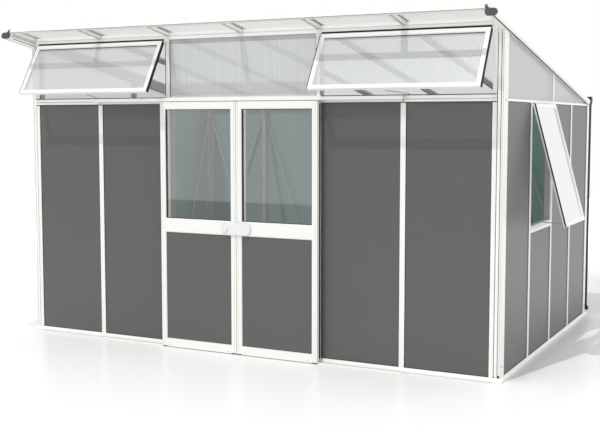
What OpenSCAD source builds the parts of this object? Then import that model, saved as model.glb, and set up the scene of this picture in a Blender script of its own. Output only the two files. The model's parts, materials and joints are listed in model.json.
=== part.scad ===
// Garden shed with sandwich panel walls, twin sliding doors, top-hung vents,
// a top-hung side window and a single-pitch roof of twin-wall sheet.
// Origin: middle of the front base rail's underside, below the doorway.
// X runs along the front, Y runs to the back, Z is up. Sizes are in millimetres.

/* [Walls] */
// Spacing of the post lines on every wall
bay = 740; // [600:5:900]
// Number of bays along the front and the back
front_bays = 6; // [6:2:8]
// Number of bays along each side
side_bays = 4; // [3:1:6]
// Depth of the walls, from outer to inner face of the posts
wall_depth = 60; // [50:1:90]
// Thickness of the wall panels and of the twin-wall sheets
panel_t = 16; // [8:1:20]
// Height of the lower wall panels' upper edge above the ground
panel_top = 2157; // [1900:1:2400]
// Gap between a panel and the groove that holds it
fit = 0.3; // [0.1:0.1:0.6]

/* [Posts] */
// Width of a wall post's face
post_w = 44; // [36:1:60]
// Thickness of a post's outer flange
flange_t = 6; // [4:0.5:8]
// Width of the web between two panels
web_w = 10; // [6:1:16]
// Width of the shallow channel along a post's face
channel_w = 14; // [8:1:20]
// Depth of the shallow channel along a post's face
channel_d = 1.5; // [0.5:0.5:3]
// Width of a corner post on the front and back
corner_w = 55; // [45:1:80]
// Depth of a corner post on the side
corner_d = 64; // [50:1:80]
// Wall thickness of the corner post's two legs
corner_t = 16; // [12:1:20]
// Width of the open flutes in the corner post
flute_w = 6; // [4:1:8]
// Depth of the open flutes in the corner post
flute_d = 10; // [4:1:12]
// Radius of the corner post's rounded edge
corner_r = 20; // [10:1:24]

/* [Base and rails] */
// Height of the base rails
base_h = 40; // [30:1:60]
// How far the base rails' foot flange stands out from the wall
foot_out = 20; // [10:1:30]
// Thickness of the base rails' foot flange
foot_t = 4; // [3:0.5:6]
// Depth of the grooves in the rails that hold a panel's edge
groove_d = 9; // [5:1:14]
// Height of the rail over the front panels and the doorway
front_rail_h = 56; // [40:1:80]
// How far the vents' sill stands out from the front rail
sill_out = 8; // [4:1:14]
// Height of the vents' sill
sill_band_h = 31; // [20:1:40]
// Height of the rail over the side panels
side_rail_h = 20; // [18:1:30]
// Height of the rail over the back panels, at its outer face
back_rail_h = 43; // [30:1:60]
// Thickness of the infill boards between the rafters
infill_t = 12; // [8:1:16]
// Height of the front wall's head beam
head_h = 34; // [20:1:50]
// Height of the openings for the vents
vent_open_h = 505; // [400:1:600]

/* [Side window] */
// Bay of the right side wall that has the window, counted from the front
window_bay = 2; // [2:1:3]
// Height of the window sill's upper face above the ground
sill_top = 1131; // [900:1:1400]
// Height of the window sill rail
sill_h = 54; // [36:1:70]
// How far the sill's nose stands out from the wall
sill_nose = 9; // [4:1:16]
// How far the sash overlaps the posts on each side
sash_lap = 5; // [2:1:10]
// Width of the sash bars
sash_bar_w = 38; // [25:1:50]
// Thickness of the sash
sash_t = 26; // [20:1:36]
// How far the closed sash would reach below the sill's upper face
sill_lap = 30; // [10:1:50]
// Drop of the sash's hinge line below the panels' upper edge
hinge_drop = 11; // [6:1:20]
// Opening angle of the sash
sash_angle = 15.2; // [5:0.1:30]
// Thickness of the panes in the sash and the doors
pane_t = 4; // [3:0.5:8]

/* [Vents] */
// How far the closed vents would reach below the front rail's upper edge
vent_lap = 36; // [10:1:50]
// Opening angle of the vents
vent_angle = 30; // [10:0.5:45]
// Thickness of the vent frames
vent_t = 30; // [22:1:40]
// Width of the vent frame bars
vent_bar_w = 38; // [30:1:50]
// Gap between a vent and the posts beside it
vent_gap = 12; // [8:1:20]
// Drop of the vents' hinge line below the head beam
vent_drop = 26; // [16:1:40]
// Thickness of the vents' rubber seals
seal_t = 8; // [3:1:9]
// Thickness of the side window's rubber seals
sash_seal_t = 5; // [3:1:8]
// Width of the beads that hold sheets and panes
bead_w = 6; // [4:1:9]
// Set-back of the beads from the frames' outer faces
bead_d = 4; // [2:0.5:6]
// Sideways lean of the stay bars
stay_lean = 50; // [0:1:120]
// Diameter of the stay bars
stay_d = 8; // [6:1:12]

/* [Roof] */
// Length of roof in front of the front wall, along the slope
eaves_front = 338; // [200:1:450]
// Length of roof behind the back wall, along the slope
eaves_back = 12; // [6:1:20]
// Height of the rafters
rafter_h = 28; // [22:1:50]
// Width of the rafters' lower box
rafter_w = 26; // [20:1:34]
// Width of the flange on the rafters that carries the sheets
rafter_flange_w = 50; // [44:1:60]
// Thickness of the rafters' flange
rafter_flange_t = 7; // [4:0.5:10]
// Width of the roof side beams
side_beam_w = 94; // [80:1:110]
// Height of the roof side beams
side_beam_h = 55; // [40:1:60]
// Width of the side beam's upstand that carries the outer sheets
upstand_w = 8; // [5:1:12]
// Width of the slot along the side beam's underside
slot_out_w = 13; // [8:1:16]
// Depth of the slot along the side beam's underside
slot_out_d = 32; // [15:1:36]
// Length of the slanted cut at the side beam's rear end
beam_cut = 110; // [0:5:150]
// Thickness of the fascia's lip in front of the sheets
fascia_t = 12; // [8:1:20]
// Depth of the fascia's body under the sheets, along the slope
fascia_d = 46; // [36:1:80]
// Set-back of the rafters' lower box behind the fascia
box_back = 40; // [0:1:100]
// Drop of the fascia's underside below the rafters
fascia_drop = 4; // [0:1:8]
// Gap between two roof sheets over a rafter
sheet_gap = 8; // [6:1:12]
// Thickness of the glazing caps
cap_t = 4; // [3:1:8]
// Width of the glazing caps
cap_w = 44; // [36:1:60]
// Thickness of the angle trims round the roof's outer edges
trim_t = 3; // [2:0.5:4]
// Width of the gutter
gutter_w = 82; // [70:1:120]
// Height of the gutter
gutter_h = 72; // [50:1:90]
// Wall thickness of the gutter
gutter_t = 3; // [2:0.5:4]
// Diameter of the downpipe
pipe_d = 46; // [32:1:60]
// Distance of the downpipe's centre from the outer face of the side wall
pipe_inset = 13; // [8:1:30]
// Wall thickness of the downpipe
pipe_t = 3; // [2:0.5:4]
// Height of the downpipe's outlet centre above the ground
outlet_z = 73; // [60:1:150]
// Length of the outlet from the downpipe's centre
outlet_l = 32; // [26:1:60]

/* [Doors] */
// Height of the doors' lower edge above the ground
door_z = 8; // [8:1:15]
// Thickness of the door leaves
door_t = 34; // [30:1:45]
// Distance of the doors' outer face from the wall's outer face
door_out = 79; // [76:1:95]
// Drop of the doors' upper edge below the front rail's upper edge
door_drop = 41; // [36:1:60]
// Lap of each door over the doorway's post line
door_lap = 28; // [20:1:40]
// Half of the gap where the two doors meet
meet_gap = 3; // [2.5:0.5:5]
// Width of the outer door stiles
stile_w = 50; // [40:1:60]
// Distance of the groove in a door stile's face from the stile's outer edge
strip_w = 16; // [10:1:20]
// Gap of the door stiles' lower end above the rail's lower edge
stile_rise = 6; // [0:1:10]
// Height of a door's bottom rail
bottom_rail_h = 74; // [60:1:110]
// Height of a door's lock rail
lock_rail_h = 123; // [100:1:150]
// Height of the lock rail's lower edge above the ground
lock_rail_z = 1032; // [900:1:1200]
// Height of a door's top rail
top_rail_h = 65; // [50:1:90]
// Gap between a door's upper edge and the top track
track_gap = 5; // [5:1:8]
// Length of travel of each door
door_travel = 700; // [600:5:730]
// Running gap at the door wheels and guide shoes
run_gap = 0.3; // [0.2:0.1:0.5]
// Clear space between moving pieces and what they pass
move_gap = 5; // [5:0.5:8]
// Diameter of the door wheels
wheel_d = 16; // [12:1:18]
// Thickness of the door wheels
wheel_t = 4; // [3:0.5:5]
// Wall thickness of the door tracks
track_t = 3; // [2:0.5:4]
// How far the bottom track's plate stands out in front of the doors
track_lip = 9; // [4:1:15]
// Height of the bottom track's rib above its plate
rib_h = 15; // [10:1:20]
// Thickness of the bottom track's rib
rib_t = 4; // [3:0.5:5]
// Width of the guide groove in the doors' lower edge
slot_w = 14; // [12.5:0.5:18]
// Distance of the door runners from the doors' side edges
runner_inset = 110; // [60:5:200]
// Width of the door hangers
hanger_w = 30; // [20:1:50]
// Thickness of the door hangers
stem_t = 5; // [4:0.5:8]
// Diameter of the door wheels' axles
axle_d = 6; // [4:0.5:8]
// Length of the guide shoes
shoe_l = 40; // [20:1:80]
// Length of the lock plate
lock_l = 290; // [200:5:320]
// Height of the lock plate
lock_h = 104; // [80:1:120]
// Thickness of the lock plate
lock_t = 20; // [14:1:24]
// Distance of the lock knob from the middle of the doors
knob_x = 95; // [60:1:120]
// Diameter of the lock knob
knob_d = 48; // [30:1:60]
// Length of the lock knob
knob_l = 18; // [10:1:30]

/* [Wall braces] */
// Width of the flat braces inside the back wall
brace_w = 30; // [20:1:40]
// Thickness of the flat braces
brace_t = 4; // [3:0.5:6]
// Gap of the braces to the base rail and to the rail above
brace_gap = 70; // [40:1:120]
// Distance between the upper ends of two braces
brace_pair = 44; // [32:1:80]

/* [Hidden] */

// Small overshoot of cutting shapes
eps = 1;
// Half length of the front between its outer post lines
half_run = bay * front_bays / 2;
// Half width of the whole shed at its corner posts
end_lap = post_w / 2 - 10;
inner_x = half_run + end_lap;
half_w = inner_x + corner_w;
// Depth of the whole shed at its corner posts
side_line = corner_d + post_w / 2;
depth = side_bays * bay + 2 * side_line;
// Back of the panel rebate in posts and rails
rebate_end = flange_t + panel_t + 2 * fit;
// Heights of the front wall, from the rail to the head beam
front_rail_top = panel_top + front_rail_h;
head_z = front_rail_top + vent_open_h;
roof_z = head_z + head_h;
side_rail_top = panel_top + side_rail_h;
back_z = panel_top + back_rail_h;
// Pitch of the roof, from the rails on the front and the back wall
pitch = atan((roof_z - back_z) / depth);
// Reach of the roof along the slope
roof_front = -eaves_front;
back_line = depth / cos(pitch);
roof_back = back_line + eaves_back;
beam_end = (depth - corner_d - 1) / cos(pitch);
sheet_n = rafter_h;
// Outer edge of the roof sheets, over the side beams' upstands
sheet_edge = inner_x + 2 * upstand_w;
side_beam_x = inner_x + side_beam_w;
// Doors
door_w = bay + door_lap - meet_gap;
door_top = front_rail_top - door_drop;
track_z = door_top + track_gap;
track_x = 2 * bay + door_lap;
door_y = -door_out;
door_mid_y = door_y + door_t / 2;

white = [0.97, 0.97, 0.95];
dark = [0.28, 0.28, 0.28];
sheet_colour = [0.80, 0.82, 0.81];
black = [0.08, 0.08, 0.08];
metal = [0.62, 0.63, 0.62];
pane_colour = [0.60, 0.68, 0.68, 0.5];

// Frames of the four walls: x along the wall, y from the outer face inwards
module at_front() {
    children();
}
module at_back() {
    translate([0, depth, 0]) rotate(180) children();
}
module at_right() {
    translate([half_w, 0, 0]) rotate(90) children();
}
module at_left() {
    mirror([1, 0, 0]) at_right() children();
}
// Frame of the roof: y runs down the slope, z stands square to it
module on_roof() {
    translate([0, 0, roof_z]) rotate([-pitch, 0, 0]) children();
}
// Everything under the rafters' lower face, or under a side beam
module under_roof(drop = 0) {
    intersection() {
        children();
        on_roof() translate([-2 * half_w, -depth, -2 * roof_z - drop])
            cube([4 * half_w, 3 * depth, 2 * roof_z]);
    }
}

// Outline of a post: flange, web between two panels, and inner box
module post_2d(before = post_w / 2, after = post_w / 2) {
    width = before + after;
    difference() {
        union() {
            translate([-before, 0]) square([width, flange_t]);
            translate([-web_w / 2, 0]) square([web_w, wall_depth]);
            translate([-before, rebate_end]) square([width, wall_depth - rebate_end]);
        }
        translate([-channel_w / 2, -eps]) square([channel_w, channel_d + eps]);
    }
}
module post(z0, z1, before = post_w / 2, after = post_w / 2) {
    translate([0, 0, z0]) linear_extrude(z1 - z0) post_2d(before, after);
}
// Outline of a rail across its length: y inwards, z up, with a panel groove
module rail_2d(h, groove_below = true, groove_above = false) {
    difference() {
        square([wall_depth, h]);
        if (groove_below) translate([flange_t, -eps])
            square([panel_t + 2 * fit, groove_d + eps]);
        if (groove_above) translate([flange_t, h - groove_d])
            square([panel_t + 2 * fit, groove_d + eps]);
    }
}
// Lays an outline of y and z along x
module along_x(x0, x1) {
    translate([x0, 0, 0]) rotate([90, 0, 90]) linear_extrude(x1 - x0) children();
}
// Base rail outline: foot flange, sloped weathering and panel groove
module base_2d() {
    difference() {
        polygon([[-foot_out, 0], [-foot_out, foot_t], [-foot_out + 6, foot_t],
            [-foot_out + 6, base_h / 2], [0, base_h - 4], [0, base_h],
            [wall_depth, base_h], [wall_depth, 0]]);
        translate([flange_t, base_h - groove_d])
            square([panel_t + 2 * fit, groove_d + eps]);
    }
}
// A wall panel between two post lines, kept clear of both webs
module panel(x0, x1, z0, z1) {
    side = web_w / 2 + fit;
    translate([x0 + side, flange_t + fit, z0])
        cube([x1 - x0 - 2 * side, panel_t, z1 - z0]);
}
// Round bar between two points
module bar(a, b, d) {
    v = b - a;
    translate(a) rotate([0, acos(v[2] / norm(v)), atan2(v[1], v[0])])
        cylinder(h = norm(v), d = d, $fn = 24);
}

// Base rail from the outer corner at x0 to the outer corner at x1, mitred at both ends
module base_rail(x0, x1) {
    intersection() {
        along_x(x0 - foot_out, x1 + foot_out) base_2d();
        translate([0, 0, -eps]) linear_extrude(base_h + 2 * eps)
            polygon([[x0 - foot_out, -foot_out], [x1 + foot_out, -foot_out],
                [x1 - wall_depth, wall_depth], [x0 + wall_depth, wall_depth]]);
    }
}
module cross_base_rails() {
    color(white) {
        base_rail(-half_w, half_w);
        at_back() base_rail(-half_w, half_w);
    }
}
module side_base_rails() {
    color(white) {
        at_right() base_rail(0, depth);
        at_left() base_rail(0, depth);
    }
}
// Outline of a corner post: two legs, a rounded outer edge and open flutes
module corner_2d() {
    edge_x = corner_w - corner_r;
    difference() {
        square([corner_w, corner_d]);
        translate([-eps, corner_t])
            square([corner_w - corner_t + eps, corner_d - corner_t + eps]);
        difference() {
            translate([edge_x, -eps]) square([corner_r + eps, corner_r + eps]);
            translate([edge_x, corner_r]) circle(r = corner_r, $fn = 64);
        }
        translate([-eps, -eps]) square([flute_w + eps, flute_d + eps]);
        translate([edge_x - flute_w, -eps]) square([flute_w, flute_d + eps]);
        translate([corner_w - flute_d, corner_r]) square([flute_d + eps, flute_w]);
        translate([edge_x + corner_r / 2, -eps]) square([flute_w / 3, corner_r / 2]);
    }
}
module corner_posts() {
    color(white) for (side = [0, 1]) mirror([side, 0, 0]) {
        under_roof(side_beam_h) translate([inner_x, 0, base_h]) linear_extrude(roof_z)
            corner_2d();
        under_roof() translate([inner_x, depth, base_h]) mirror([0, 1, 0])
            linear_extrude(roof_z) corner_2d();
    }
}
module front_posts() {
    inner_lines = [for (k = [-front_bays / 2 + 1 : front_bays / 2 - 1]) if (k != 0) k * bay];
    color(white) {
        for (x = inner_lines) translate([x, 0, 0]) post(base_h, panel_top);
        for (x = [-bay, bay]) translate([x, 0, 0]) post(front_rail_top, head_z);
        for (side = [0, 1]) mirror([side, 0, 0]) translate([half_run, 0, 0]) {
            post(base_h, panel_top, after = end_lap);
            post(front_rail_top, head_z, after = end_lap);
        }
    }
}
module back_posts() {
    color(white) at_back() {
        for (k = [-front_bays / 2 + 1 : front_bays / 2 - 1])
            translate([k * bay, 0, 0]) post(base_h, panel_top);
        for (side = [0, 1]) mirror([side, 0, 0]) translate([half_run, 0, 0])
            post(base_h, panel_top, after = end_lap);
    }
}
module side_posts() {
    color(white) for (side = [0, 1]) mirror([side, 0, 0]) under_roof(side_beam_h) at_right() {
        for (k = [0 : side_bays - 1])
            translate([side_line + k * bay, 0, 0]) post(base_h, panel_top);
        translate([side_line + side_bays * bay, 0, 0]) post(base_h, roof_z);
        translate([side_line, 0, 0]) post(side_rail_top, roof_z);
        translate([side_line + window_bay * bay, 0, 0]) post(side_rail_top, roof_z);
    }
}
module front_mid_rail() {
    color(white) translate([0, 0, panel_top]) along_x(-inner_x, inner_x) union() {
        rail_2d(front_rail_h, true, true);
        translate([-sill_out, front_rail_h - sill_band_h])
            square([sill_out + flange_t, sill_band_h]);
    }
}
// Infill between the rafters, from a beam up to the sheets, cut to the rafters' shape
module eaves_infill(y0, end_reach) {
    low_gap = rafter_w / 2 + fit;
    high_gap = rafter_flange_w / 2 + fit;
    high_z = rafter_h - rafter_flange_t - fit;
    for (k = [-front_bays / 2 : front_bays / 2 - 1]) {
        first = k == -front_bays / 2;
        last = k == front_bays / 2 - 1;
        for (gap = [low_gap, high_gap]) {
            x0 = k * bay + (first ? -end_reach : gap);
            x1 = (k + 1) * bay + (last ? end_reach : -gap);
            translate([x0, y0, gap == low_gap ? -flange_t : 0])
                cube([x1 - x0, infill_t, gap == low_gap ? high_z + flange_t : rafter_h - fit]);
        }
    }
}
module front_head_beam() {
    color(white) {
        under_roof() translate([0, 0, head_z]) along_x(-inner_x, inner_x)
            rail_2d(head_h + wall_depth * tan(pitch), true);
        on_roof() eaves_infill(flange_t, end_lap);
    }
}
module back_top_rail() {
    color(white) {
        under_roof() at_back() translate([0, 0, panel_top]) along_x(-inner_x, inner_x)
            rail_2d(back_rail_h + wall_depth, true);
        on_roof() eaves_infill(back_line - wall_depth / 2, sheet_edge - half_run);
    }
}
module side_mid_rails() {
    color(white) for (side = [0, 1]) mirror([side, 0, 0]) under_roof(side_beam_h) at_right()
        translate([0, 0, panel_top])
            along_x(corner_d, side_line + side_bays * bay - post_w / 2)
                rail_2d(side_rail_h, true, true);
}
panel_z0 = base_h - groove_d + fit;
panel_z1 = panel_top + groove_d - fit;
module front_panels() {
    color(dark) for (side = [0, 1]) mirror([side, 0, 0])
        for (k = [1 : front_bays / 2 - 1])
            panel(k * bay, (k + 1) * bay, panel_z0, panel_z1);
}
module back_panels() {
    color(dark) at_back() for (k = [-front_bays / 2 : front_bays / 2 - 1])
        panel(k * bay, (k + 1) * bay, panel_z0, panel_z1);
}
module side_panels() {
    color(dark) under_roof(side_beam_h + fit) for (k = [0 : side_bays - 1]) {
        x0 = side_line + k * bay;
        low = k + 1 == window_bay;
        at_right() panel(x0, x0 + bay, panel_z0, low ? sill_top - sill_h + groove_d - fit
            : panel_z1);
        at_left() panel(x0, x0 + bay, panel_z0, panel_z1);
    }
}
window_x0 = side_line + (window_bay - 1) * bay + post_w / 2;
window_x1 = window_x0 + bay - post_w;
module window_sill() {
    color(white) at_right() translate([0, 0, sill_top - sill_h])
        along_x(window_x0, window_x1) difference() {
            polygon([[0, 0], [0, sill_h / 2 - 4], [-sill_nose, sill_h / 2 - 4],
                [-sill_nose, sill_h / 2 + 3], [0, sill_h - 8], [0, sill_h],
                [wall_depth, sill_h], [wall_depth, 0]]);
            translate([flange_t, -eps]) square([panel_t + 2 * fit, groove_d + eps]);
        }
}
hinge_z = panel_top - hinge_drop;
sash_len = hinge_z - sill_top + sill_lap;
sash_x0 = window_x0 - sash_lap;
sash_x1 = window_x1 + sash_lap;
// Frame of the open sash: z runs down from the hinge, y outwards is negative
module on_sash() {
    at_right() translate([0, -fit, hinge_z]) rotate([-sash_angle, 0, 0]) children();
}
module sash_frame() {
    color(white) on_sash() difference() {
        translate([sash_x0, -sash_t, -sash_len]) cube([sash_x1 - sash_x0, sash_t, sash_len]);
        translate([sash_x0 + sash_bar_w, -sash_t - eps, -sash_len + sash_bar_w])
            cube([sash_x1 - sash_x0 - 2 * sash_bar_w, sash_t + 2 * eps,
                sash_len - 2 * sash_bar_w]);
        translate([sash_x0 + sash_bar_w - bead_w, -sash_t - eps, -sash_len + sash_bar_w - bead_w])
            cube([sash_x1 - sash_x0 - 2 * sash_bar_w + 2 * bead_w, bead_d + eps,
                sash_len - 2 * sash_bar_w + 2 * bead_w]);
        translate([sash_x0 + sash_bar_w - groove_d, -sash_t / 2 - pane_t / 2 - fit,
            -sash_len + sash_bar_w - groove_d])
            cube([sash_x1 - sash_x0 - 2 * sash_bar_w + 2 * groove_d, pane_t + 2 * fit,
                sash_len - 2 * sash_bar_w + 2 * groove_d]);
    }
}
module sash_glass() {
    edge = sash_bar_w - groove_d + fit;
    color(pane_colour) on_sash()
        translate([sash_x0 + edge, -sash_t / 2 - pane_t / 2, -sash_len + edge])
            cube([sash_x1 - sash_x0 - 2 * edge, pane_t, sash_len - 2 * edge]);
}
vent_x0 = bay + post_w / 2 + vent_gap;
vent_x1 = half_run - post_w / 2 - vent_gap;
vent_z = head_z - vent_drop;
vent_len = vent_z - front_rail_top + vent_lap;
// Frame of the open right-hand vent, and its mirror image on the left
module on_vents() {
    for (side = [0, 1]) mirror([side, 0, 0])
        translate([0, -fit, vent_z]) rotate([-vent_angle, 0, 0]) children();
}
vent_slot_y = -vent_t / 2 - panel_t / 2 - fit;
module vent_slot() {
    translate([vent_x0 + vent_bar_w - bead_w, -vent_t - eps, -vent_len + vent_bar_w - bead_w])
        cube([vent_x1 - vent_x0 - 2 * vent_bar_w + 2 * bead_w, bead_d + eps,
            vent_len - 2 * vent_bar_w + 2 * bead_w]);
    translate([vent_x0 + vent_bar_w - groove_d, vent_slot_y, -vent_len + vent_bar_w - groove_d])
        cube([vent_x1 - vent_x0 - 2 * vent_bar_w + 2 * groove_d, panel_t + 2 * fit,
            vent_len - 2 * vent_bar_w + 2 * groove_d]);
}
module vent_side_bars() {
    color(white) on_vents() difference() {
        for (x = [vent_x0, vent_x1 - vent_bar_w])
            translate([x, -vent_t, -vent_len]) cube([vent_bar_w, vent_t, vent_len]);
        vent_slot();
    }
}
module vent_cross_bars() {
    color(white) on_vents() difference() {
        for (z = [-vent_bar_w, -vent_len])
            translate([vent_x0 + vent_bar_w, -vent_t, z])
                cube([vent_x1 - vent_x0 - 2 * vent_bar_w, vent_t, vent_bar_w]);
        vent_slot();
    }
}
module vent_sheets() {
    edge = vent_bar_w - groove_d + fit;
    color(sheet_colour) on_vents()
        translate([vent_x0 + edge, -vent_t / 2 - panel_t / 2, -vent_len + edge])
            cube([vent_x1 - vent_x0 - 2 * edge, panel_t, vent_len - 2 * edge]);
}
// Seals along both sides of the vents and the sash, and over the vents' hinge line
module opening_seals() {
    color(black) {
        on_vents() for (x = [vent_x0 - seal_t, vent_x1])
            translate([x, 2 - vent_t, 4 - vent_len]) cube([seal_t, vent_t - 4, vent_len - 8]);
        for (side = [0, 1]) mirror([side, 0, 0])
            translate([vent_x0, -seal_t, vent_z + seal_t * tan(vent_angle) + 1])
                cube([vent_x1 - vent_x0, seal_t, vent_drop]);
        on_sash() for (x = [sash_x0 - sash_seal_t, sash_x1])
            translate([x, 2 - sash_t, 4 - sash_len])
                cube([sash_seal_t, 2 * sash_seal_t, sash_len - 8]);
    }
}
function turned(y, z, a) = [y * cos(a) + z * sin(a), -y * sin(a) + z * cos(a)];
module stay_bars() {
    color(metal) {
        seat = stay_d / 2 + fit;
        low = turned(0, -vent_len, vent_angle);
        for (side = [0, 1]) mirror([side, 0, 0])
            bar([2 * bay - stay_lean, low[0], vent_z + low[1] - seat],
                [2 * bay + stay_lean, 2 * flange_t, front_rail_top + seat], stay_d);
        sash_low = turned(0, -sash_len, sash_angle);
        mid = (window_x0 + window_x1) / 2;
        bar([half_w - sash_low[0], mid, hinge_z + sash_low[1] - seat],
            [half_w - 2 * flange_t, mid + stay_lean, sill_top + seat], stay_d);
    }
}
module infill_sheets() {
    color(sheet_colour) {
        panel(-bay, bay, front_rail_top - groove_d + fit, head_z + groove_d - fit);
        for (side = [0, 1]) mirror([side, 0, 0]) under_roof(side_beam_h + fit) at_right() {
            z0 = side_rail_top - groove_d + fit;
            panel(side_line, side_line + window_bay * bay, z0, roof_z);
            panel(side_line + window_bay * bay, side_line + side_bays * bay, z0, roof_z);
        }
    }
}
// Rafters: a box below and a wide flange above, square cut at both ends
module rafters() {
    y0 = roof_front - fascia_t + fascia_d;
    y1 = back_line - rafter_h * tan(pitch);
    color(white) on_roof() for (k = [-front_bays / 2 + 1 : front_bays / 2 - 1])
        translate([k * bay, y0, 0]) union() {
            translate([-rafter_w / 2, box_back, 0])
                cube([rafter_w, y1 - y0 - box_back, rafter_h]);
            translate([-rafter_flange_w / 2, 0, rafter_h - rafter_flange_t])
                cube([rafter_flange_w, y1 - y0, rafter_flange_t]);
        }
}
// Side beam outline: rounded outer body, slot below, upstand on its inner edge
module side_beam_2d() {
    r = side_beam_h / 2;
    difference() {
        union() {
            translate([inner_x, -side_beam_h]) square([side_beam_w - r, side_beam_h]);
            translate([side_beam_x - r, -r]) circle(r = r, $fn = 48);
            translate([inner_x + upstand_w, -eps]) square([upstand_w, sheet_n + eps]);
        }
        translate([half_w + 2, -side_beam_h - eps]) square([slot_out_w, slot_out_d + eps]);
    }
}
module side_beams() {
    length = beam_end - roof_front;
    color(white) for (side = [0, 1]) mirror([side, 0, 0]) on_roof() difference() {
        translate([0, beam_end, 0]) rotate([90, 0, 0]) linear_extrude(length) side_beam_2d();
        translate([0, 0, -side_beam_h - eps]) linear_extrude(side_beam_h + 2 * eps)
            polygon([[half_w, beam_end + eps], [side_beam_x + eps, beam_end - beam_cut],
                [side_beam_x + eps, beam_end + eps]]);
    }
}
module roof_sheets() {
    color(sheet_colour) on_roof() for (k = [-front_bays / 2 : front_bays / 2 - 1]) {
        x0 = k == -front_bays / 2 ? -sheet_edge : k * bay + sheet_gap / 2;
        x1 = k == front_bays / 2 - 1 ? sheet_edge : (k + 1) * bay - sheet_gap / 2;
        translate([x0, roof_front, sheet_n]) cube([x1 - x0, roof_back - roof_front, panel_t]);
    }
}
// Caps over the sheets' joints, and angle trims round the outermost edges
module glazing_caps() {
    top = sheet_n + panel_t;
    length = roof_back - roof_front;
    color(white) on_roof() {
        for (k = [-front_bays / 2 + 1 : front_bays / 2 - 1]) translate([k * bay, roof_front, 0]) {
            translate([-cap_w / 2, 0, top]) cube([cap_w, length, cap_t]);
            translate([-sheet_gap / 2 + 1, 0, sheet_n])
                cube([sheet_gap - 2, length, panel_t + cap_t]);
        }
        for (side = [0, 1]) mirror([side, 0, 0]) translate([sheet_edge, roof_front, 0]) {
            translate([-cap_w / 2, 0, top]) cube([cap_w / 2 + trim_t, length, trim_t]);
            translate([0, 0, sheet_n]) cube([trim_t, length, panel_t + trim_t]);
        }
    }
}
// Fascia: a lip in front of the sheets and a grooved body below them
module front_fascia() {
    top = sheet_n + panel_t + trim_t;
    reach = inner_x - 2;
    color(white) on_roof() translate([0, roof_front - fascia_t, 0]) {
        difference() {
            translate([-reach, 0, -fascia_drop])
                cube([2 * reach, fascia_d, sheet_n + fascia_drop]);
            for (y = [fascia_d / 4, fascia_d * 3 / 4])
                translate([-reach - eps, y, -fascia_drop - eps])
                    cube([2 * reach + 2 * eps, flute_w, flute_w + eps]);
        }
        translate([-sheet_edge - trim_t, 0, sheet_n])
            cube([2 * sheet_edge + 2 * trim_t, fascia_t, top - sheet_n]);
    }
}
// End caps: rounded body with a pointed lip along the upstand
module fascia_end_caps() {
    r = side_beam_h / 2;
    lip_n = sheet_n - 2;
    color(black) for (side = [0, 1]) mirror([side, 0, 0]) on_roof()
        translate([0, roof_front, 0]) rotate([90, 0, 0]) linear_extrude(fascia_t) union() {
            translate([inner_x + r, -r]) circle(r = r, $fn = 48);
            translate([side_beam_x - r, -r]) circle(r = r, $fn = 48);
            translate([inner_x + r, -side_beam_h]) square([side_beam_w - 2 * r, side_beam_h]);
            polygon([[inner_x, -r], [inner_x + upstand_w, lip_n], [inner_x + upstand_w + 4, lip_n],
                [inner_x + upstand_w + 14, lip_n / 3], [inner_x + 5 * upstand_w, 0],
                [inner_x + 5 * upstand_w, -r]]);
        }
}
// Height of the gutter's upper edge: the sheets' upper face over the back wall
gutter_top = back_z + (sheet_n + panel_t) / cos(pitch);
gutter_z = gutter_top - gutter_h;
gutter_end = half_w + pipe_d / 2 - pipe_inset + 1;
module gutter_2d(inset) {
    r = gutter_w / 2 - inset;
    union() {
        translate([gutter_w / 2, r + inset]) circle(r = r, $fn = 48);
        translate([inset, r + inset]) square([2 * r, gutter_h - r - inset + (inset > 0 ? eps : 0)]);
    }
}
// Gutter: its wall towards the shed is lower, so that the sheets reach over it, and its
// flat heel seats on the back wall's rail
module gutter() {
    clear_x = sheet_edge + 3 * trim_t;
    wall_h = back_z - gutter_z - 2;
    color(black) translate([0, depth, gutter_z]) difference() {
        along_x(-gutter_end, gutter_end) union() {
            gutter_2d(0);
            translate([0, wall_h / 3]) square([gutter_w / 4, wall_h * 2 / 3]);
        }
        along_x(-gutter_end + gutter_t, gutter_end - gutter_t) gutter_2d(gutter_t);
        translate([half_w - pipe_inset, gutter_w / 2, -eps])
            cylinder(h = gutter_w / 2, d = pipe_d - 2 * pipe_t, $fn = 48);
        translate([-clear_x, -eps, wall_h])
            cube([2 * clear_x, 2 * eaves_back + eps, gutter_h]);
    }
}
// Downpipe: fitted under the gutter's round bottom, with an outlet bend to the right
module downpipe() {
    bore = pipe_d - 2 * pipe_t;
    x = half_w - pipe_inset;
    color(black) difference() {
        translate([x, depth + gutter_w / 2, outlet_z]) difference() {
            union() {
                cylinder(h = gutter_z + gutter_w / 4 - outlet_z, d = pipe_d, $fn = 48);
                sphere(d = pipe_d, $fn = 48);
                rotate([0, 90, 0]) cylinder(h = outlet_l, d = pipe_d, $fn = 48);
            }
            cylinder(h = gutter_top, d = bore, $fn = 48);
            rotate([0, 90, 0]) cylinder(h = outlet_l + eps, d = bore, $fn = 48);
        }
        translate([0, depth, gutter_z]) along_x(0, 2 * gutter_end) gutter_2d(0);
    }
}
module wall_braces() {
    z0 = base_h + brace_gap;
    rise = panel_top - brace_gap - z0;
    lean = bay - brace_pair;
    color(metal) at_back() translate([0, wall_depth + brace_t, z0 + rise])
        for (x = [-2 * bay, 0, 2 * bay]) for (side = [-1, 1])
            translate([x + side * brace_pair / 2, 0, 0])
                rotate([0, 180 - side * atan2(lean, rise), 0])
                    translate([-brace_w / 2, -brace_t, 0])
                        cube([brace_w, brace_t, norm([rise, lean])]);
}

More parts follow.
